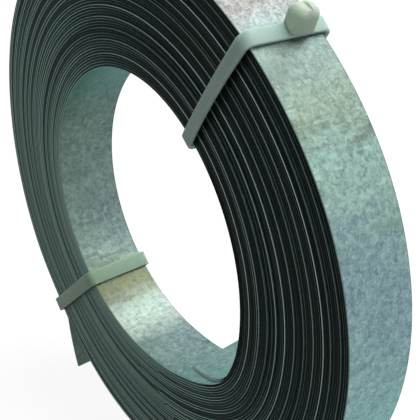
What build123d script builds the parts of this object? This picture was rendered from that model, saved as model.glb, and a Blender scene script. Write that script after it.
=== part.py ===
from build123d import *
from math import cos, degrees, radians, sin, sqrt
import os

# A roll of galvanised steel strapping, held by two cable ties and standing on its rim.
# Millimetres, +Z up. The roll's axis runs along Y, and its front end faces -Y.
# The origin is on the floor, under the middle of the rim.
# Angles round the axis are degrees counter-clockwise from +X, as seen from the front.

# The strap and its winding
strap_width = 20.0
strap_thickness = 0.7
turn_gap = 0.07  # air between one turn and the next
turn_count = 48
bore_diameter = 95.0
turns_per_band = 4  # turns that lie level with each other on the ends
band_shift = 0.3  # farthest that a band has slipped along the axis
band_phase = 137.5  # degrees, spreads the slip unevenly over the bands

# The outer end of the strap, sprung away from the rim
tail_angle = -133.2
tail_lift = 50.0  # from the rim's tangent
tail_length = 22.8
tail_curl_radius = 80.0

# The inner end of the strap, pushed out at the back of the bore
inner_end_angle = -74.4
inner_end_reach = 35.0  # degrees over which it returns to its place
inner_end_shift = 7.0

# The cable ties: a band and a head moulded in one piece
upper_tie_width = 3.6
lower_tie_width = 4.8
tie_thickness = 1.1
tie_bend_radius = 1.6  # inside the bend, where the tie turns a corner of the roll
tie_clearance = 0.25  # between the bend and the corner
upper_tie_angle = 51.8
upper_tie_lean = 0.4  # from the radius, on the ends
upper_tie_skew = -2.5  # from the axis, on the rim
upper_tie_bow = 1.0  # of the run on the front end, away from the roll
lower_tie_angle = -137.0
lower_tie_lean = -2.0
lower_tie_skew = 0.0
lower_tie_bow = 0.2
head_wall = 1.0  # on each side of the band
head_length = 7.0
head_height = 5.4  # above the tie's inner face
head_offset = 2.6  # from the middle of the roll's width, towards the back
head_corner_radius = 2.2
head_edge_chamfer = 0.8
slot_margin = 0.15  # round the tie's end in the head
slot_depth = 2.2
stub_length = 0.3  # of the trimmed tie end, above the head

# Derived sizes
turn_pitch = strap_thickness + turn_gap
bore_radius = bore_diameter / 2
outer_radius = bore_radius + turn_count * turn_pitch
wall = outer_radius - bore_radius
band_count = turn_count // turns_per_band
band_depth = wall / band_count
tie_standoff = tie_bend_radius * (1 - 1 / sqrt(2)) + tie_clearance
loop_height = wall + 2 * tie_standoff
loop_length = strap_width + 2 * (band_shift + tie_standoff)

# Planes: half of the wall's section, and the front end with the roll's axis as its origin
section_plane = Plane(origin=(0, 0, outer_radius), x_dir=(1, 0, 0), z_dir=(0, 0, 1))
front_plane = Plane(origin=(0, -strap_width / 2, outer_radius), x_dir=(1, 0, 0), z_dir=(0, -1, 0))
roll_axis = Axis((0, 0, outer_radius), (0, 1, 0))


def polar(radius, angle):
    """Point on an end of the roll, from the axis."""
    return (radius * cos(radians(angle)), radius * sin(radians(angle)))


def band_slip(band):
    """How far a band of turns lies towards the back."""
    return -band_shift * cos(radians(band_phase * band))


def wall_section():
    """Outline of the wound wall: both ends step from band to band."""
    front, back = [], []
    for band in range(band_count):
        for edge in (band, band + 1):
            radius = bore_radius + edge * band_depth
            front.append((radius, band_slip(band) - strap_width / 2))
            back.append((radius, band_slip(band) + strap_width / 2))
    return front + back[::-1]


# The strap's inner end: the innermost turn leaves the wall, and runs askew to the back
leave_angle = inner_end_angle + inner_end_reach
leave_x, leave_z = polar(bore_radius, leave_angle)
cut_x, cut_z = polar(bore_radius, inner_end_angle)
radial_x, radial_z = polar(1, inner_end_angle + inner_end_reach / 2)
set_in = 2 * band_shift  # keeps the leaving turn's edges within the innermost band
skew = Vector(cut_x - leave_x, inner_end_shift + set_in, cut_z - leave_z)
skew_plane = Plane(
    origin=(leave_x, -strap_width / 2 - set_in, outer_radius + leave_z),
    x_dir=(radial_x, 0, radial_z),
    z_dir=Vector(radial_x, 0, radial_z).cross(skew),
)

with BuildPart() as inner_end:
    with BuildSketch(front_plane):
        with BuildLine():
            outside = RadiusArc(
                polar(bore_radius, inner_end_angle),
                polar(bore_radius + strap_thickness, leave_angle),
                -bore_radius,
            )
            inside = RadiusArc(
                polar(bore_radius - strap_thickness, inner_end_angle),
                polar(bore_radius, leave_angle),
                -bore_radius,
            )
            Line(outside @ 0, inside @ 0)
            Line(outside @ 1, inside @ 1)
        make_face()
    extrude(amount=-(strap_width + inner_end_shift))
    split(bisect_by=skew_plane, keep=Keep.TOP)
    split(bisect_by=skew_plane.move(Location((0, strap_width, 0))), keep=Keep.BOTTOM)

# The roll: one turned solid, with the strap's two free ends
with BuildPart() as strap_roll:
    with BuildSketch(section_plane):
        with BuildLine():
            Polyline(*wall_section(), close=True)
        make_face()
    revolve(axis=roll_axis)
    with BuildSketch(front_plane):
        with BuildLine() as tail_path:
            JernArc(
                start=polar(outer_radius - strap_thickness, tail_angle),
                tangent=polar(1, tail_angle + 90 - tail_lift),
                radius=tail_curl_radius,
                arc_size=degrees(tail_length / tail_curl_radius),
            )
        trace(tail_path.line, line_width=strap_thickness)
    extrude(amount=-strap_width)
    add(inner_end.part)


def loop_plane(angle, lean, skew):
    """Plane of a tie's loop: x points outwards, y along the axis, from the middle of the wall."""
    middle_x, middle_z = polar(bore_radius + wall / 2, angle)
    out_x, out_z = polar(1, angle + lean)
    plane = Plane(
        origin=(middle_x, 0, outer_radius + middle_z),
        x_dir=(out_x, 0, out_z),
        z_dir=(-out_z, 0, out_x),
    )
    return plane.rotated((skew, 0, 0))


def make_tie(width, angle, lean, skew, bow):
    """A tie pulled tight round the wall: its head, its loop and the trimmed end in the head's slot."""
    plane = loop_plane(angle, lean, skew)
    head_width = width + 2 * head_wall
    head_top = Plane(
        origin=plane.from_local_coords((loop_height / 2 + head_height, head_offset, 0)),
        x_dir=plane.y_dir,
        z_dir=plane.x_dir,
    )
    outside_x = loop_height / 2 + tie_thickness
    outside_y = loop_length / 2 + tie_thickness
    with BuildPart() as tie:
        with BuildSketch(plane.offset(-head_width / 2)) as head_outline:
            with Locations((loop_height / 2, head_offset)):
                Rectangle(head_height, head_length, align=(Align.MIN, Align.CENTER))
            fillet(head_outline.vertices().group_by(Axis.X)[-1], head_corner_radius)
        extrude(amount=head_width)
        head_sides = tie.faces().filter_by(Axis(plane.origin, plane.z_dir))
        chamfer(head_sides.edges(), head_edge_chamfer)
        with BuildSketch(head_top):
            Rectangle(tie_thickness + 2 * slot_margin, width + 2 * slot_margin)
        extrude(amount=-slot_depth, mode=Mode.SUBTRACT)
        with BuildSketch(head_top.offset(stub_length)):
            Rectangle(tie_thickness, width)
        extrude(amount=-(stub_length + slot_depth))
        with BuildSketch(plane.offset(-width / 2)) as band_outline:
            with BuildLine():
                SagittaArc((-outside_x, -outside_y), (outside_x, -outside_y), -bow)
                Polyline(
                    (outside_x, -outside_y),
                    (outside_x, outside_y),
                    (-outside_x, outside_y),
                    (-outside_x, -outside_y),
                )
            make_face()
            fillet(band_outline.vertices(), tie_bend_radius + tie_thickness)
            offset(amount=-tie_thickness, mode=Mode.SUBTRACT)
        extrude(amount=width)
    return tie.part


upper_tie = make_tie(upper_tie_width, upper_tie_angle, upper_tie_lean, upper_tie_skew, upper_tie_bow)
lower_tie = make_tie(lower_tie_width, lower_tie_angle, lower_tie_lean, lower_tie_skew, lower_tie_bow)

strap_roll.part.label = "strap_roll"
upper_tie.label = "upper_cable_tie"
lower_tie.label = "lower_cable_tie"

os.makedirs("parts", exist_ok=True)
export_step(strap_roll.part, "parts/strap_roll.step")
export_step(upper_tie, "parts/upper_cable_tie.step")
export_step(lower_tie, "parts/lower_cable_tie.step")
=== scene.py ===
import bmesh
import bpy
from functools import partial
from math import cos, pi, radians, sin, tau
from mathutils import Matrix, Quaternion, Vector


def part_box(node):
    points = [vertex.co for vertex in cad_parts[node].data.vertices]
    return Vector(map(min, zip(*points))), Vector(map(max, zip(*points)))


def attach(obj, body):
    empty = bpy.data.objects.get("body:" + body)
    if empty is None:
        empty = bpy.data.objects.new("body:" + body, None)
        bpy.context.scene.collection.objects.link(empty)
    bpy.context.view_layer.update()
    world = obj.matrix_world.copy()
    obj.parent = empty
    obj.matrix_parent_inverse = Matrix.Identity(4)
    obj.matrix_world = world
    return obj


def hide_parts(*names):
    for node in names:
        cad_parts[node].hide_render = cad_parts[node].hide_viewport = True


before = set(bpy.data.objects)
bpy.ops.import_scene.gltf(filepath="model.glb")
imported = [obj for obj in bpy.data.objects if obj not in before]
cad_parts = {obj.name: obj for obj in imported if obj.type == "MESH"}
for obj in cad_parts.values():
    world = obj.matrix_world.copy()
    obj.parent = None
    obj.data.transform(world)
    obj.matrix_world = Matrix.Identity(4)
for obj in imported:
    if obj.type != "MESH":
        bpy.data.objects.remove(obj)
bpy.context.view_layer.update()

# The strap roll: one length of galvanised steel strap, slit to width and wound on itself turn by turn.
# Its inner end is pushed askew out of the back of the bore, and its outer end has sprung away
# from the rim just past the lower tie.
mm = 0.001
roll_low, roll_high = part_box("strap_roll")
axis_height = (roll_high.x - roll_low.x) / 2
box_margin = 0.03 * mm  # keeps the rim inside the solid's box
rim_radius = axis_height - box_margin
inner_radius = 47.15 * mm
strap_width = 20 * mm
strap_thickness = 0.76 * mm  # with its burr, so that no light comes between the turns
inner_end_angle = radians(-71.4)
outer_end_angle = radians(-133.2)
layer_count = 48
outermost = layer_count - 1  # layers count from 0 at the bore
turns = layer_count + (outer_end_angle - inner_end_angle) / tau
pitch = (rim_radius - inner_radius - strap_thickness) / outermost
strap_sizes = {
    "Turns": turns,
    "Points per Turn": 180,
    "Axis Height": axis_height,
    "Inner Radius": inner_radius,
    "Pitch": pitch,
    "Climb": 0.07,
    "Strap Width": strap_width,
    "Strap Thickness": strap_thickness,
    "Slit Edge Chamfer": 0.1 * mm,
    "Inner End Angle": inner_end_angle,
    "Inner End Shift": 5.7 * mm,
    "Inner End Reach": radians(42) / tau,
    "Inner End Curve": 1.2,
    "Inner End Tilt": -0.1,
    "Tail Points": 24,
    "Tail Lift": radians(46.7),
    "Tail Length": 21.1 * mm,
    "Tail Curl Radius": 80 * mm,
    "Turns per Band": 4.0,
    "Band Swell": -0.45,
    "Band Step": 0.4 * mm,
    "Least Step": 0.65,
    "Step Spread": 0.7,
    "Level in Band": 0.15,
    "Turn Slip": 0.04 * mm,
    "Rise": 0.85 * mm,
    "Lobe Count": 3.0,
    "Lobe Height": 0.75 * mm,
    "Lobe Angle": radians(77),
    "Dent Depth": 1.3 * mm,
    "Dent Angle": radians(-36),
    "Dent Sharpness": 36.0,
    "Pinch Depth": -1.6 * mm,
    "Pinch Lean": 0.06,
    "Pinch Angle": radians(-71),
    "Pinch Sharpness": 20.0,
    "Flat Depth": -0.8 * mm,
    "Flat Angle": radians(168),
    "Flat Sharpness": 14.0,
    "Flat Fade": 1.0,
    "Waist Depth": -1.2 * mm,
    "Waist Angle": radians(-139),
    "Waist Sharpness": 120.0,
    "Waist Fade": 3.0,
    "Bulge Depth": 2.4 * mm,
    "Bulge Angle": radians(-114),
    "Bulge Sharpness": 36.0,
    "Bulge Fade": 8.0,
    "Set Back Depth": 0.6 * mm,
    "Set Back Angle": radians(168),
    "Set Back Sharpness": 8.0,
    "Set Back Fade": 3.0,
    "Creep": 0.35 * mm,
    "Seed": 4.0,
}


def add_node(tree, kind, inputs=(), **settings):
    """A node with its settings, and its inputs linked to sockets or set to plain values."""
    node = tree.nodes.new(kind)
    for name, value in settings.items():
        setattr(node, name, value)
    for key, value in dict(inputs).items():
        socket = node.inputs[key]
        if isinstance(value, bpy.types.NodeSocket):
            tree.links.new(value, socket)
        else:
            socket.default_value = value
    return node


def figure(tree, operation, *terms):
    """One step of arithmetic."""
    return add_node(tree, "ShaderNodeMath", enumerate(terms), operation=operation).outputs[0]


def ramp(tree, factor, low, high, shape="LINEAR"):
    """Maps a factor's range from low to high onto 0 to 1."""
    limits = {"Value": factor, "From Min": low, "From Max": high}
    return add_node(tree, "ShaderNodeMapRange", limits, interpolation_type=shape).outputs[0]


def new_size_tree(name, sizes):
    """An empty Geometry Nodes tree with one named input for each size, and its two end nodes."""
    tree = bpy.data.node_groups.new(name, "GeometryNodeTree")
    for size, value in sizes.items():
        kind = "NodeSocketInt" if isinstance(value, int) else "NodeSocketFloat"
        tree.interface.new_socket(size, in_out="INPUT", socket_type=kind)
    tree.interface.new_socket("Material", in_out="INPUT", socket_type="NodeSocketMaterial")
    tree.interface.new_socket("Geometry", in_out="OUTPUT", socket_type="NodeSocketGeometry")
    given = tree.nodes.new("NodeGroupInput").outputs
    made = tree.nodes.new("NodeGroupOutput").inputs["Geometry"]
    return tree, given, made


crease_angle = radians(40)


def finish_tree(tree, geometry, given, made):
    """Sharp edges stay sharp, the rest is smooth, and the result gets its material."""
    smooth = add_node(tree, "GeometryNodeSetShadeSmooth", {"Geometry": geometry})
    angle = tree.nodes.new("GeometryNodeInputMeshEdgeAngle").outputs["Unsigned Angle"]
    creases = add_node(
        tree,
        "GeometryNodeSetShadeSmooth",
        {
            "Geometry": smooth.outputs[0],
            "Selection": figure(tree, "GREATER_THAN", angle, crease_angle),
            "Shade Smooth": False,
        },
        domain="EDGE",
    )
    real = add_node(tree, "GeometryNodeRealizeInstances", {"Geometry": creases.outputs[0]})
    painted = add_node(
        tree, "GeometryNodeSetMaterial", {"Geometry": real.outputs[0], "Material": given["Material"]}
    )
    tree.links.new(painted.outputs[0], made)


def mesh_from_tree(name, tree, sizes, material):
    """A plain mesh object, made by running a tree with these sizes."""
    piece = bpy.data.objects.new(name, bpy.data.meshes.new(name))
    bpy.context.collection.objects.link(piece)
    modifier = piece.modifiers.new(name, "NODES")
    modifier.node_group = tree
    values = {**sizes, "Material": material}
    for item in tree.interface.items_tree:
        if item.in_out == "INPUT":
            modifier[item.identifier] = values[item.name]
    seen = piece.evaluated_get(bpy.context.evaluated_depsgraph_get())
    mesh = bpy.data.meshes.new_from_object(seen)
    piece.modifiers.clear()
    piece.data = mesh
    mesh.name = name
    return piece


def rounded_bar(tree, width, thickness, corner, steps):
    """A closed profile: a flat bar with its four corners eased in so many steps."""
    bar = add_node(
        tree, "GeometryNodeCurvePrimitiveQuadrilateral", {"Width": width, "Height": thickness}
    )
    eased = add_node(
        tree,
        "GeometryNodeFilletCurve",
        {"Curve": bar.outputs[0], "Count": steps, "Radius": corner},
        mode="POLY",
    )
    return eased.outputs[0]


def turn_at(layer, angle):
    """The turn number at an angle in degrees, on a layer counted from the bore."""
    return layer + ((radians(angle) - inner_end_angle) / tau) % 1


def wound_strap_tree():
    """The strap as a spiral path, with its profile swept along it."""
    tree, given, made = new_size_tree("wound_strap", strap_sizes)
    calc = partial(figure, tree)

    def chance(key, salt):
        """A fixed random value from 0 to 1 for each whole key."""
        seeded = calc("ADD", calc("ADD", key, salt), given["Seed"])
        return add_node(tree, "ShaderNodeTexWhiteNoise", {"W": seeded}, noise_dimensions="1D").outputs[0]

    def lobe(name):
        """A change that is full at its own angle, and less to both sides of it."""
        apart = calc("SUBTRACT", angle, given[name + " Angle"])
        facing = calc("MULTIPLY_ADD", calc("COSINE", apart), 0.5, 0.5)
        share = calc("POWER", facing, given[name + " Sharpness"])
        return calc("MULTIPLY", share, given[name + " Depth"])

    def outer_lobe(name):
        """A lobe of the outermost turns, which fades towards the bore."""
        return calc("MULTIPLY", calc("POWER", outwards, given[name + " Fade"]), lobe(name))

    index = tree.nodes.new("GeometryNodeInputIndex").outputs[0]
    wound_points = calc("CEIL", calc("MULTIPLY", given["Turns"], given["Points per Turn"]))
    wound = calc("MINIMUM", calc("DIVIDE", index, given["Points per Turn"]), given["Turns"])
    angle = calc("MULTIPLY_ADD", wound, tau, given["Inner End Angle"])
    cos_angle = calc("COSINE", angle)
    sin_angle = calc("SINE", angle)

    # Each turn lies round, and climbs onto the turn below just before the inner end's place
    whole = calc("FLOOR", wound)
    climb_start = calc("SUBTRACT", 1.0, given["Climb"])
    climb = ramp(tree, calc("SUBTRACT", wound, whole), climb_start, 1.0, "SMOOTHSTEP")
    layer = calc("ADD", whole, climb)
    middle = calc("MULTIPLY_ADD", given["Strap Thickness"], 0.5, given["Inner Radius"])
    radius = calc("MULTIPLY_ADD", layer, given["Pitch"], middle)

    # Inner turns lie a little high, have sprung into three lobes and are bent by the inner end
    outwards = calc("DIVIDE", layer, given["Turns"])
    inwards = calc("SUBTRACT", 1.0, outwards)
    past_lobe = calc("SUBTRACT", angle, given["Lobe Angle"])
    lobes = calc("COSINE", calc("MULTIPLY", past_lobe, given["Lobe Count"]))
    pinch = lobe("Pinch")
    inner_shape = calc("ADD", lobe("Dent"), pinch)
    inner_shape = calc("MULTIPLY_ADD", lobes, given["Lobe Height"], inner_shape)
    inner_shape = calc("MULTIPLY_ADD", sin_angle, given["Rise"], inner_shape)
    radius = calc("MULTIPLY_ADD", inwards, inner_shape, radius)

    # Outer turns are flatter on one side, drawn in by the lower tie and loose next to the tail
    for name in ("Flat", "Waist", "Bulge"):
        radius = calc("ADD", radius, outer_lobe(name))

    # The ends of the roll are uneven: within a band of turns, each stands out more than the one below it
    swell = calc("SINE", calc("MULTIPLY", outwards, pi))
    level_bands = calc("DIVIDE", layer, given["Turns per Band"])
    band = calc("MULTIPLY_ADD", swell, given["Band Swell"], level_bands)
    proud = calc("FRACT", band)
    whole_band = calc("FLOOR", band)
    unevenness = calc(
        "MULTIPLY_ADD", chance(whole_band, salt=0), given["Step Spread"], given["Least Step"]
    )
    step = calc("MULTIPLY", unevenness, given["Band Step"])
    forward = calc("MULTIPLY", calc("SUBTRACT", proud, given["Level in Band"]), step)
    stray = calc("MULTIPLY_ADD", chance(whole, salt=100), 2.0, -1.0)
    slip = calc("MULTIPLY_ADD", stray, given["Turn Slip"], calc("MULTIPLY", forward, -1.0))
    luck = chance(whole_band, salt=50)

    # The outermost turns lie back on one side, and the last one creeps forward at the upper tie
    creep_start = turn_at(outermost, 20)
    creep_full = turn_at(outermost, 45)
    creep_eased = turn_at(outermost, 70)
    creep_end = turn_at(outermost, 110)
    slip = calc("ADD", slip, outer_lobe("Set Back"))
    crept = ramp(tree, wound, creep_start, creep_full, "SMOOTHSTEP")
    settled = ramp(tree, wound, creep_end, creep_eased)
    creep = calc("MULTIPLY", calc("MULTIPLY", crept, settled), given["Creep"])
    slip = calc("SUBTRACT", slip, creep)

    # The inner end runs askew, and the pinched turns lean
    askew = calc("MAXIMUM", calc("SUBTRACT", 1.0, calc("DIVIDE", wound, given["Inner End Reach"])), 0.0)
    in_place = calc("SUBTRACT", 1.0, askew)
    pushed = calc("POWER", askew, given["Inner End Curve"])
    slip = calc("MULTIPLY", slip, in_place)
    slip = calc("MULTIPLY_ADD", pushed, given["Inner End Shift"], slip)
    tilt = calc("MULTIPLY", askew, given["Inner End Tilt"])
    pinched = calc("MULTIPLY", calc("DIVIDE", pinch, given["Pinch Depth"]), inwards)
    lean = calc("MULTIPLY", calc("MULTIPLY", pinched, in_place), given["Pinch Lean"])
    across = add_node(
        tree,
        "ShaderNodeCombineXYZ",
        {
            "X": calc("SUBTRACT", calc("MULTIPLY", cos_angle, lean), calc("MULTIPLY", sin_angle, tilt)),
            "Y": 1.0,
            "Z": calc("ADD", calc("MULTIPLY", sin_angle, lean), calc("MULTIPLY", cos_angle, tilt)),
        },
    )

    # Past the last turn the tail runs off on an arc of its own
    past = calc("MAXIMUM", calc("SUBTRACT", index, wound_points), 0.0)
    run = calc("DIVIDE", calc("MULTIPLY", past, given["Tail Length"]), given["Tail Points"])
    heading = calc("SUBTRACT", calc("ADD", angle, pi / 2), given["Tail Lift"])
    turned = calc("ADD", heading, calc("DIVIDE", run, given["Tail Curl Radius"]))
    tail_x = calc("SUBTRACT", calc("SINE", turned), calc("SINE", heading))
    tail_z = calc("SUBTRACT", calc("COSINE", heading), calc("COSINE", turned))
    x = calc("MULTIPLY_ADD", tail_x, given["Tail Curl Radius"], calc("MULTIPLY", radius, cos_angle))
    z = calc("MULTIPLY_ADD", tail_z, given["Tail Curl Radius"], calc("MULTIPLY", radius, sin_angle))
    place = add_node(
        tree, "ShaderNodeCombineXYZ", {"X": x, "Y": slip, "Z": calc("ADD", z, given["Axis Height"])}
    )

    # The path keeps what the steel needs to know, and the profile is swept along it
    count = calc("ADD", calc("ADD", wound_points, given["Tail Points"]), 1.0)
    line = add_node(tree, "GeometryNodeCurvePrimitiveLine")
    points = add_node(tree, "GeometryNodeResampleCurve", {"Curve": line.outputs[0], "Count": count})
    path = add_node(
        tree, "GeometryNodeSetPosition", {"Geometry": points.outputs[0], "Position": place.outputs[0]}
    )
    for name, value in (("turn", wound), ("proud", proud), ("luck", luck)):
        path = add_node(
            tree,
            "GeometryNodeStoreNamedAttribute",
            {"Geometry": path.outputs[0], "Name": name, "Value": value},
        )
    facing = add_node(
        tree,
        "GeometryNodeSetCurveNormal",
        {"Curve": path.outputs[0], "Normal": across.outputs[0]},
        mode="FREE",
    )
    profile = rounded_bar(
        tree, given["Strap Width"], given["Strap Thickness"], given["Slit Edge Chamfer"], steps=1
    )
    spot = tree.nodes.new("GeometryNodeInputPosition").outputs[0]
    sideways = add_node(tree, "ShaderNodeSeparateXYZ", {"Vector": spot}).outputs["X"]
    ruled = add_node(
        tree,
        "GeometryNodeStoreNamedAttribute",
        {"Geometry": profile, "Name": "across", "Value": sideways},
    )
    strap = add_node(
        tree,
        "GeometryNodeCurveToMesh",
        {"Curve": facing.outputs[0], "Profile Curve": ruled.outputs[0], "Fill Caps": True},
    )
    finish_tree(tree, strap.outputs[0], given, made)
    return tree


def shader_tree(name):
    """A new material, its node tree and its Principled shader."""
    material = bpy.data.materials.new(name)
    material.use_nodes = True
    tree = material.node_tree
    return material, tree, tree.nodes["Principled BSDF"]


def blend_colors(tree, factor, first, second, mode="MIX"):
    """Two colours mixed by a factor."""
    node = add_node(tree, "ShaderNodeMix", data_type="RGBA", blend_type=mode)
    for key, value in (("Factor_Float", factor), ("A_Color", first), ("B_Color", second)):
        socket = next(s for s in node.inputs if s.identifier == key)
        if isinstance(value, bpy.types.NodeSocket):
            tree.links.new(value, socket)
        else:
            socket.default_value = value
    return next(s for s in node.outputs if s.identifier == "Result_Color")


def cloud(tree, vector, scale, detail, roughness, distortion=0.0):
    """Soft random patches, about 1 / scale metres across."""
    node = add_node(
        tree,
        "ShaderNodeTexNoise",
        {
            "Vector": vector,
            "Scale": scale,
            "Detail": detail,
            "Roughness": roughness,
            "Distortion": distortion,
        },
    )
    return node.outputs["Fac"]


def stretched(tree, vector, factors):
    """Coordinates scaled along each axis, which draws a pattern out where the factor is small."""
    return add_node(tree, "ShaderNodeMapping", {"Vector": vector, "Scale": factors}).outputs[0]


def stretch(tree, turn, layer, first, last, soft):
    """1 on a stretch of one layer between two angles in degrees, with ends that take part of a turn."""
    begun = ramp(tree, turn, turn_at(layer, first) - soft, turn_at(layer, first))
    ended = ramp(tree, turn, turn_at(layer, last) + soft, turn_at(layer, last))
    return figure(tree, "MULTIPLY", begun, ended)


def galvanised_steel():
    """Zinc-coated strip: crinkled spangle on its faces, dark bare steel on its slit edges."""
    material, tree, shader = shader_tree("galvanised_strap")
    coords = tree.nodes.new("ShaderNodeTexCoord").outputs
    place = coords["Object"]
    normal = coords["Normal"]
    calc = partial(figure, tree)
    between = partial(ramp, tree)
    along = partial(stretch, tree)
    mix = partial(blend_colors, tree)

    def stored(name):
        """A value that the winding left on the strap."""
        return add_node(tree, "ShaderNodeAttribute", attribute_name=name).outputs["Fac"]

    def by_turn(scale, detail):
        """A value that drifts at random from turn to turn."""
        settings = {"W": turn, "Scale": scale, "Detail": detail}
        return add_node(tree, "ShaderNodeTexNoise", settings, noise_dimensions="1D").outputs["Fac"]

    def vector_step(operation, *terms):
        """The outputs of one step of vector arithmetic."""
        return add_node(tree, "ShaderNodeVectorMath", enumerate(terms), operation=operation).outputs

    turn = stored("turn")
    proud = stored("proud")
    luck = stored("luck")
    from_middle = calc("ABSOLUTE", stored("across"))
    bored = between(turn, 1.1, 1.0)

    # Zinc: broad drifts of hue, a crinkle, light flecks and smudges across the strap
    blue_zinc = (0.116, 0.184, 0.210, 1)
    green_zinc = (0.160, 0.256, 0.230, 1)
    crinkle_gain = (2.2, 2.03, 1.95, 1)
    fleck_color = (0.45, 0.58, 0.54, 1)
    smudge_color = (0.11, 0.17, 0.16, 1)
    fleck_share = 0.5
    fewer_in_bore = -0.35
    smudge_share = 0.5
    wander_reach = 0.06  # of a turn
    drift = cloud(tree, place, scale=45, detail=3.0, roughness=0.5)
    crinkle = cloud(tree, place, scale=600, detail=4.0, roughness=0.65, distortion=0.6)
    fleck = cloud(tree, place, scale=1600, detail=2.0, roughness=0.65, distortion=0.5)
    smudge = cloud(tree, stretched(tree, place, (1, 0.25, 1)), scale=190, detail=3.0, roughness=0.6)
    wander = calc("MULTIPLY_ADD", calc("SUBTRACT", smudge, 0.5), wander_reach, turn)
    greener = along(wander, outermost, 26, 40, soft=0.02)
    hue = calc("MULTIPLY_ADD", greener, 0.7, calc("MULTIPLY", between(drift, 0.35, 0.65), 0.5))
    zinc = mix(hue, blue_zinc, green_zinc)
    zinc = mix(between(crinkle, 0.33, 0.67), zinc, crinkle_gain, "MULTIPLY")
    fleck_part = calc("MULTIPLY_ADD", bored, fewer_in_bore, fleck_share)
    zinc = mix(calc("MULTIPLY", between(fleck, 0.52, 0.7), fleck_part), zinc, fleck_color)
    zinc = mix(calc("MULTIPLY", between(smudge, 0.52, 0.75), smudge_share), zinc, smudge_color)

    # The outermost turn: pale and veined past the upper tie, and soiled below it
    dark_vein = (0.14, 0.135, 0.137, 1)
    pale_vein = (0.33, 0.335, 0.325, 1)
    soil_tint = (0.68, 0.60, 0.55, 1)
    pale = along(turn, outermost, 58, 140, soft=0.02)
    grain = calc("MULTIPLY_ADD", crinkle, 0.5, calc("MULTIPLY", fleck, 0.5))
    veins = mix(between(grain, 0.4, 0.6), dark_vein, pale_vein)
    zinc = mix(pale, zinc, veins)
    soiled = along(wander, outermost, 38, 52, soft=0.02)
    zinc = mix(soiled, zinc, soil_tint, "MULTIPLY")

    # The bore is greyer than the rim. Its upper side is darkened with painted shade, and so is the tail,
    # which is painted dark as the shade in the gap between it and the roll.
    bore_tint = (1.06, 0.99, 0.92, 1)
    upper_bore_shade_tint = (0.43, 0.45, 0.37, 1)
    tail_shade_tint = (0.42, 0.40, 0.33, 1)
    upper_bore_shade = along(turn, 0, 70, 106, soft=0.36)
    tail = between(turn, turns - 0.004, turns - 0.001)
    zinc = mix(bored, zinc, bore_tint, "MULTIPLY")
    zinc = mix(upper_bore_shade, zinc, upper_bore_shade_tint, "MULTIPLY")
    zinc = mix(tail, zinc, tail_shade_tint, "MULTIPLY")

    # Beside the lower tie in the bore, an olive darkening is the painted shadow and reflection of the
    # tie, and below it a lighter, more neutral stretch is a painted highlight
    lower_tie_shadow_tint = (0.56, 0.47, 0.31, 1)
    painted_highlight_tint = (1.26, 1.13, 1.06, 1)
    lower_tie_shadow = along(wander, 0, -133, -127, soft=0.035)
    painted_highlight = along(wander, 0, -117, -107, soft=0.04)
    zinc = mix(lower_tie_shadow, zinc, lower_tie_shadow_tint, "MULTIPLY")
    zinc = mix(painted_highlight, zinc, painted_highlight_tint, "MULTIPLY")

    # The faces are darker along the slit edges
    slit_edge_tint = (0.55, 0.55, 0.55, 1)
    near_slit_edges = between(from_middle, strap_width / 2 - 0.4 * mm, strap_width / 2 - 0.15 * mm)
    zinc = mix(near_slit_edges, zinc, slit_edge_tint, "MULTIPLY")

    # Slit edges are dark. The turn that stands out in its band has its outer corner rubbed bright,
    # in some bands more than in others.
    black_edge = (0.003, 0.005, 0.006, 1)
    grey_edge = (0.014, 0.022, 0.019, 1)
    dim_corner = (0.08, 0.11, 0.10, 1)
    dull_rub = (0.07, 0.095, 0.095, 1)
    bright_rub = (0.30, 0.37, 0.37, 1)
    dark_teal = (0.13, 0.215, 0.20, 1)
    light_teal = (0.25, 0.39, 0.35, 1)
    shaded_corner = (0.015, 0.022, 0.022, 1)
    tone = by_turn(scale=0.9, detail=2.0)
    first_out = between(proud, 0.72, 0.8)
    edge = mix(between(tone, 0.35, 0.7), black_edge, grey_edge)
    apart = calc("MAXIMUM", between(tone, 0.4, 0.7), between(turn, 42.5, 44.0))
    rubbed = mix(luck, dull_rub, bright_rub)
    outer_corner = mix(first_out, mix(apart, edge, dim_corner), rubbed)
    teal = mix(between(tone, 0.3, 0.7), dark_teal, light_teal)
    # The proud turn's inner corner is painted dark in some bands, as painted shadow in the gap beside it
    lined = calc("MULTIPLY", first_out, between(luck, 0.55, 0.3))
    inner_corner = mix(lined, teal, shaded_corner)
    from_axis = vector_step("SUBTRACT", place, (0, 0, axis_height))["Vector"]
    facing_out = vector_step("DOT_PRODUCT", normal, from_axis)["Value"]
    corner = mix(calc("GREATER_THAN", facing_out, 0.0), inner_corner, outer_corner)

    # The slit edges on the lower left are painted a lighter grey-green, as painted reflected light that
    # the end catches there
    painted_edge_light_dim = (0.09, 0.145, 0.135, 1)
    painted_edge_light_bright = (0.20, 0.29, 0.245, 1)
    painted_edge_light_angle = radians(-150)
    painted_edge_light_focus = 2.2
    painted_edge_light_side = (cos(painted_edge_light_angle), 0, sin(painted_edge_light_angle))
    towards = vector_step("NORMALIZE", from_axis)["Vector"]
    lower_left = vector_step("DOT_PRODUCT", towards, painted_edge_light_side)["Value"]
    painted_edge_light = calc("POWER", calc("MULTIPLY_ADD", lower_left, 0.5, 0.5), painted_edge_light_focus)
    painted_edge_light = calc("MULTIPLY", painted_edge_light, calc("SUBTRACT", 1.0, calc("MULTIPLY", lined, 0.7)))
    swath = by_turn(scale=0.25, detail=1.0)
    painted_edge_light_tone = mix(between(swath, 0.4, 0.6), painted_edge_light_dim, painted_edge_light_bright)
    edge = mix(painted_edge_light, edge, painted_edge_light_tone)
    corner = mix(calc("MULTIPLY", painted_edge_light, 0.8), corner, painted_edge_light_tone)

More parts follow.
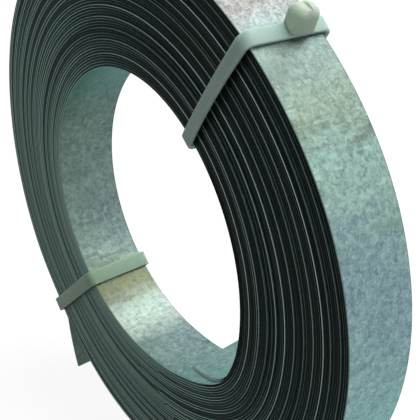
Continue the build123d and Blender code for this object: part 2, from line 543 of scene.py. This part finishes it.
    # The two innermost turns are painted black on the right, as painted shade in the bore's recess
    innermost_shade_edge = (0.002, 0.003, 0.003, 1)
    innermost_shade_corner = (0.004, 0.006, 0.006, 1)
    innermost_shade = calc("MAXIMUM", *(along(turn, layer, -50, 40, soft=0.02) for layer in (0, 1)))
    edge = mix(innermost_shade, edge, innermost_shade_edge)
    corner = mix(innermost_shade, corner, innermost_shade_corner)

    # The free inner end has bright edges
    cut_steel = (0.85, 0.95, 0.92, 1)
    free_end = between(turn, 0.09, 0.06)
    edge = mix(free_end, edge, cut_steel)

    # Edge, corner or face, by how far the surface is turned to the roll's end
    along_axis = add_node(tree, "ShaderNodeSeparateXYZ", {"Vector": normal}).outputs["Y"]
    facing_end = calc("ABSOLUTE", along_axis)
    on_edge = between(facing_end, 0.85, 0.95)
    on_corner = calc("SUBTRACT", between(facing_end, 0.5, 0.6), free_end)
    color = mix(on_corner, zinc, corner)
    color = mix(on_edge, color, edge)
    tree.links.new(color, shader.inputs["Base Color"])
    tree.links.new(calc("SUBTRACT", 1.0, on_edge), shader.inputs["Metallic"])
    tree.links.new(calc("MULTIPLY_ADD", crinkle, 0.25, 0.35), shader.inputs["Roughness"])
    shader.inputs["Specular IOR Level"].default_value = 0.02
    shader.inputs["Specular Tint"].default_value = (0.6, 0.97, 0.97, 1)

    # Shallow ripples across the strap, with the crinkle on top
    drawn_out = stretched(tree, place, (1, 0.35, 1))
    ripple = cloud(tree, drawn_out, scale=380, detail=2.0, roughness=0.5, distortion=0.6)
    height = calc("MULTIPLY_ADD", crinkle, 0.4, ripple)
    bump = add_node(tree, "ShaderNodeBump", {"Height": height, "Strength": 0.4, "Distance": 0.4 * mm})
    tree.links.new(bump.outputs[0], shader.inputs["Normal"])
    return material


strap_roll = mesh_from_tree("strap_roll_wound", wound_strap_tree(), strap_sizes, galvanised_steel())
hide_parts("strap_roll")
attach(strap_roll, "root")

# The upper cable tie: natural nylon, with band and head moulded in one piece. It is threaded
# through the bore, pulled tight round the wall and trimmed at its head, where the cut end stands
# in the slot. Its run on the front end bows away from the roll, and its run on the rim tilts.
tie_thickness = 1.1 * mm
tie_standoff = 0.45 * mm  # of the band, from the wall that it goes round
end_unevenness = 0.3 * mm  # of the roll's ends
head_height = 5.8 * mm
head_length = 7.0 * mm
head_wall = 0.9 * mm  # on each side of the band
head_offset = 3.2 * mm  # from the middle of the strap's width, towards the back
head_lift = 0.7 * mm  # of its foot, above the inner face of the band
head_rounding = 2.3 * mm
slot_margin = 0.06 * mm
slot_depth = 2.2 * mm
slot_rounding = 0.1 * mm
stub_sink = 0.45 * mm  # of the trimmed end, below the top of the head
stub_rounding = 0.15 * mm
band_sizes = {
    "Loop Length": strap_width + 2 * (end_unevenness + tie_standoff),
    "Band Thickness": tie_thickness,
    "Bend Radius": 1.4 * mm,
    "Edge Radius": 0.2 * mm,
    "Rim Run": 0.92,  # of the way from the wall's middle to the rim, where the tilt starts
    "Points": 240,
}


def tie_band_tree(sizes):
    """A band bent round four corners, which may bow and twist on the front end and tilt on the rim."""
    tree, given, made = new_size_tree("tie_band", sizes)
    calc = partial(figure, tree)
    middle_height = calc("ADD", given["Loop Height"], given["Band Thickness"])
    middle_length = calc("ADD", given["Loop Length"], given["Band Thickness"])
    bend = calc("MULTIPLY_ADD", given["Band Thickness"], 0.5, given["Bend Radius"])
    corners = rounded_bar(tree, middle_height, middle_length, bend, steps=8)
    loop = add_node(tree, "GeometryNodeResampleCurve", {"Curve": corners, "Count": given["Points"]})
    place = tree.nodes.new("GeometryNodeInputPosition").outputs[0]
    spot = add_node(tree, "ShaderNodeSeparateXYZ", {"Vector": place}).outputs
    reach = calc("DIVIDE", calc("MULTIPLY", spot["X"], 2.0), middle_height)
    belly = calc("MAXIMUM", calc("SUBTRACT", 1.0, calc("MULTIPLY", reach, reach)), 0.0)
    loose = calc("MULTIPLY", belly, calc("LESS_THAN", spot["Y"], 0.0))
    outwards = calc("MULTIPLY", loose, calc("MULTIPLY", given["Bow"], -1.0))
    bowed = add_node(
        tree,
        "GeometryNodeSetPosition",
        {
            "Geometry": loop.outputs[0],
            "Offset": add_node(tree, "ShaderNodeCombineXYZ", {"Y": outwards}).outputs[0],
        },
    )
    on_rim = ramp(tree, reach, given["Rim Run"], 1.0)
    turned = add_node(
        tree,
        "ShaderNodeCombineXYZ",
        {
            "X": calc("MULTIPLY", on_rim, calc("TANGENT", given["Tilt"])),
            "Y": calc("MULTIPLY", loose, calc("TANGENT", given["Twist"])),
            "Z": 1.0,
        },
    )
    lying = add_node(tree, "ShaderNodeVectorMath", {0: turned.outputs[0]}, operation="NORMALIZE")
    flat = add_node(
        tree,
        "GeometryNodeSetCurveNormal",
        {"Curve": bowed.outputs[0], "Normal": lying.outputs[0]},
        mode="FREE",
    )
    profile = rounded_bar(
        tree, given["Band Width"], given["Band Thickness"], given["Edge Radius"], steps=3
    )
    band = add_node(
        tree, "GeometryNodeCurveToMesh", {"Curve": flat.outputs[0], "Profile Curve": profile}
    )
    finish_tree(tree, band.outputs[0], given, made)
    return tree


def natural_nylon(name, dull, clear, thick):
    """Undyed nylon: milky, slightly see-through, satin, and of another colour where it is thick."""
    material, tree, shader = shader_tree(name)
    place = tree.nodes.new("ShaderNodeTexCoord").outputs["Object"]
    haze = cloud(tree, place, scale=160, detail=3.0, roughness=0.5)
    color = blend_colors(tree, ramp(tree, haze, 0.3, 0.7), dull, clear)
    bulk = add_node(tree, "ShaderNodeAttribute", attribute_name="bulk").outputs["Fac"]
    color = blend_colors(tree, bulk, color, thick)
    tree.links.new(color, shader.inputs["Base Color"])
    shader.inputs["Roughness"].default_value = 0.38
    shader.inputs["Specular IOR Level"].default_value = 0.06
    shader.inputs["Subsurface Weight"].default_value = 0.9
    shader.inputs["Subsurface Radius"].default_value = (0.8, 1.0, 0.8)
    shader.inputs["Subsurface Scale"].default_value = 2.0 * mm
    return material


def block_object(name, size, middle, rounding, steps):
    """A block with its edges rounded, but for those of its foot."""
    block = bmesh.new()
    placed = Matrix.Translation(middle) @ Matrix.Diagonal((*size, 1))
    bmesh.ops.create_cube(block, size=1, matrix=placed)
    edges = [edge for edge in block.edges if any(end.co.x > middle.x for end in edge.verts)]
    bmesh.ops.bevel(
        block, geom=edges, offset=rounding, segments=steps, profile=0.5, affect="EDGES"
    )
    mesh = bpy.data.meshes.new(name)
    block.to_mesh(mesh)
    block.free()
    piece = bpy.data.objects.new(name, mesh)
    bpy.context.collection.objects.link(piece)
    return piece


def tie_head(loop_height, width, tilt):
    """The head's mesh, tilted on its band: a rounded block with a slot and the trimmed end in it."""
    head_foot = loop_height / 2 + head_lift
    head_top = head_foot + head_height
    head_size = Vector((head_height, head_length, width + 2 * head_wall))
    head_middle = Vector((head_foot + head_height / 2, head_offset, 0))
    head = block_object("tie_head", head_size, head_middle, head_rounding, steps=8)
    slot_size = Vector((2 * slot_depth, tie_thickness + 2 * slot_margin, width + 2 * slot_margin))
    slot_middle = Vector((head_top, head_offset, 0))
    slot = block_object("tie_slot", slot_size, slot_middle, slot_rounding, steps=2)
    cut = head.modifiers.new("slot", "BOOLEAN")
    cut.operation = "DIFFERENCE"
    cut.solver = "EXACT"
    cut.object = slot
    seen = head.evaluated_get(bpy.context.evaluated_depsgraph_get())
    mesh = bpy.data.meshes.new_from_object(seen)
    stub_size = Vector((slot_depth - stub_sink, tie_thickness, width))
    stub_middle = Vector((head_top - (stub_sink + slot_depth) / 2, head_offset, 0))
    stub = block_object("tie_stub", stub_size, stub_middle, stub_rounding, steps=2)
    whole = bmesh.new()
    whole.from_mesh(mesh)
    whole.from_mesh(stub.data)
    whole.to_mesh(mesh)
    whole.free()
    for helper in (head, slot, stub):
        bpy.data.objects.remove(helper)
    foot = Matrix.Translation((loop_height / 2, head_offset, 0))
    mesh.transform(foot @ Matrix.Rotation(-tilt, 4, "Y") @ foot.inverted())
    return mesh


def loop_place(angle, lean, skew, middle):
    """To the roll, from a tie's loop with x outwards, y along the axis and z across the band."""
    spot = Vector((middle * cos(angle), 0, axis_height + middle * sin(angle)))
    outwards = Vector((cos(angle + lean), 0, sin(angle + lean)))
    across = Vector((-sin(angle + lean), 0, cos(angle + lean)))
    axes = Matrix((outwards, Vector((0, 1, 0)), across)).transposed()
    return Matrix.Translation(spot) @ axes.to_4x4() @ Matrix.Rotation(skew, 4, "X")


def cable_tie(name, nylon, width, inside, outside, angle, lean, skew=0.0, bow=0.0, twist=0.0, tilt=0.0):
    """A whole tie, round the wall between two radii: its band and its head in one mesh."""
    loop_height = outside - inside + 2 * tie_standoff
    sizes = {
        **band_sizes,
        "Loop Height": loop_height,
        "Band Width": width,
        "Bow": bow,
        "Twist": twist,
        "Tilt": tilt,
    }
    tie = mesh_from_tree(name, tie_band_tree(sizes), sizes, nylon)
    whole = bmesh.new()
    whole.from_mesh(tie.data)
    band_points = len(whole.verts)
    whole.from_mesh(tie_head(loop_height, width, tilt))
    bulk = whole.verts.layers.float.new("bulk")
    for number, point in enumerate(whole.verts):
        point[bulk] = 0.0 if number < band_points else 1.0
    for face in whole.faces:
        face.smooth = True
    bmesh.ops.recalc_face_normals(whole, faces=whole.faces[:])
    whole.transform(loop_place(angle, lean, skew, (inside + outside) / 2))
    whole.to_mesh(tie.data)
    whole.free()
    tie.data.set_sharp_from_angle(angle=crease_angle)
    return tie


fresh_nylon = natural_nylon(
    "natural_nylon",
    dull=(0.56, 0.83, 0.71, 1),
    clear=(0.66, 0.90, 0.77, 1),
    thick=(0.74, 0.97, 0.73, 1),
)
upper_tie = cable_tie(
    "upper_cable_tie_moulded",
    fresh_nylon,
    width=3.6 * mm,
    inside=48.0 * mm,
    outside=rim_radius,
    angle=radians(51.8),
    lean=radians(0.4),
    skew=radians(-2.5),
    bow=0.9 * mm,
    twist=radians(10),
    tilt=radians(14),
)
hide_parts("upper_cable_tie")
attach(upper_tie, "root")

# The lower cable tie: a wider one of the same kind, in duller nylon. It lies straight and tight round
# the wall, draws the outer turns in, and has its head on the rim beside the strap's sprung end.
dulled_nylon = natural_nylon(
    "dulled_nylon",
    dull=(0.43, 0.61, 0.46, 1),
    clear=(0.49, 0.67, 0.51, 1),
    thick=(0.46, 0.63, 0.46, 1),
)
lower_tie = cable_tie(
    "lower_cable_tie_moulded",
    dulled_nylon,
    width=4.8 * mm,
    inside=46.7 * mm,
    outside=rim_radius - 0.4 * mm,
    angle=radians(-137),
    lean=radians(-2),
)
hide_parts("lower_cable_tie")
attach(lower_tie, "root")

# The studio: a pale floor under the roll, a broad lamp above and behind it, a small one on the right,
# and weak fill from all round. The floor and the surroundings look white to the eye and in the metal.
floor_size = 3.0
floor_glow = 0.9
fill_level = 0.2
half = floor_size / 2
floor_mesh = bpy.data.meshes.new("studio_floor")
floor_mesh.from_pydata(
    [(-half, -half, 0), (half, -half, 0), (half, half, 0), (-half, half, 0)], [], [(0, 1, 2, 3)]
)
floor = bpy.data.objects.new("studio_floor", floor_mesh)
bpy.context.collection.objects.link(floor)


def seen_directly(tree):
    """1 for rays from the camera, from gloss and through glass, and 0 for other light."""
    path = tree.nodes.new("ShaderNodeLightPath").outputs
    seen = figure(tree, "MAXIMUM", path["Is Camera Ray"], path["Is Glossy Ray"])
    return figure(tree, "MAXIMUM", seen, path["Is Transmission Ray"])


floor_material, floor_tree, floor_shader = shader_tree("pale_floor")
floor_shader.inputs["Base Color"].default_value = (0.2, 0.2, 0.2, 1)
floor_shader.inputs["Roughness"].default_value = 0.9
floor_shader.inputs["Specular IOR Level"].default_value = 0.0
floor_shader.inputs["Emission Color"].default_value = (1, 1, 1, 1)
floor_tree.links.new(
    figure(floor_tree, "MULTIPLY", seen_directly(floor_tree), floor_glow),
    floor_shader.inputs["Emission Strength"],
)
floor_mesh.materials.append(floor_material)

world = bpy.data.worlds.new("studio")
bpy.context.scene.world = world
world.use_nodes = True
sky = world.node_tree
background = sky.nodes["Background"]
background.inputs["Color"].default_value = (1, 1, 1, 1)
strength = figure(sky, "MAXIMUM", seen_directly(sky), fill_level)
sky.links.new(strength, background.inputs["Strength"])

roll_middle = Vector((0, 0, axis_height))


def add_lamp(name, offset, width, power):
    """A soft square lamp at an offset from the middle of the roll, aimed at it."""
    lamp = bpy.data.lights.new(name, "AREA")
    lamp.size = width
    lamp.energy = power
    holder = bpy.data.objects.new(name, lamp)
    holder.location = roll_middle + Vector(offset)
    holder.rotation_euler = (-Vector(offset)).to_track_quat("-Z", "Y").to_euler()
    bpy.context.collection.objects.link(holder)


add_lamp("top_softbox", offset=(0.15, 0.45, 0.88), width=0.95, power=9)
add_lamp("side_softbox", offset=(0.9, -0.15, -0.02), width=0.5, power=1)

# The camera stands at the photograph's viewing angle
view_azimuth = radians(54.214)
view_elevation = radians(27.572)
view_roll = radians(-2.511)
view_distance = 234.1 * mm
view_right = 20.81 * mm
view_up = 6.42 * mm
focal_length = 69.36
nearest_seen = 10 * mm
back = Vector(
    (
        sin(view_azimuth) * cos(view_elevation),
        -cos(view_azimuth) * cos(view_elevation),
        sin(view_elevation),
    )
)
turn_to_back = back.to_track_quat("Z", "Y") @ Quaternion((0, 0, 1), view_roll)
front_middle = Vector((0, -strap_width / 2, axis_height))
camera = bpy.data.objects.new("camera", bpy.data.cameras.new("camera"))
camera.data.lens = focal_length
camera.data.clip_start = nearest_seen
camera.rotation_euler = turn_to_back.to_euler()
camera.location = (
    front_middle
    + back * view_distance
    + turn_to_back @ Vector((view_right, view_up, 0))
)
bpy.context.collection.objects.link(camera)
bpy.context.scene.camera = camera
bpy.context.scene.view_settings.view_transform = "Standard"
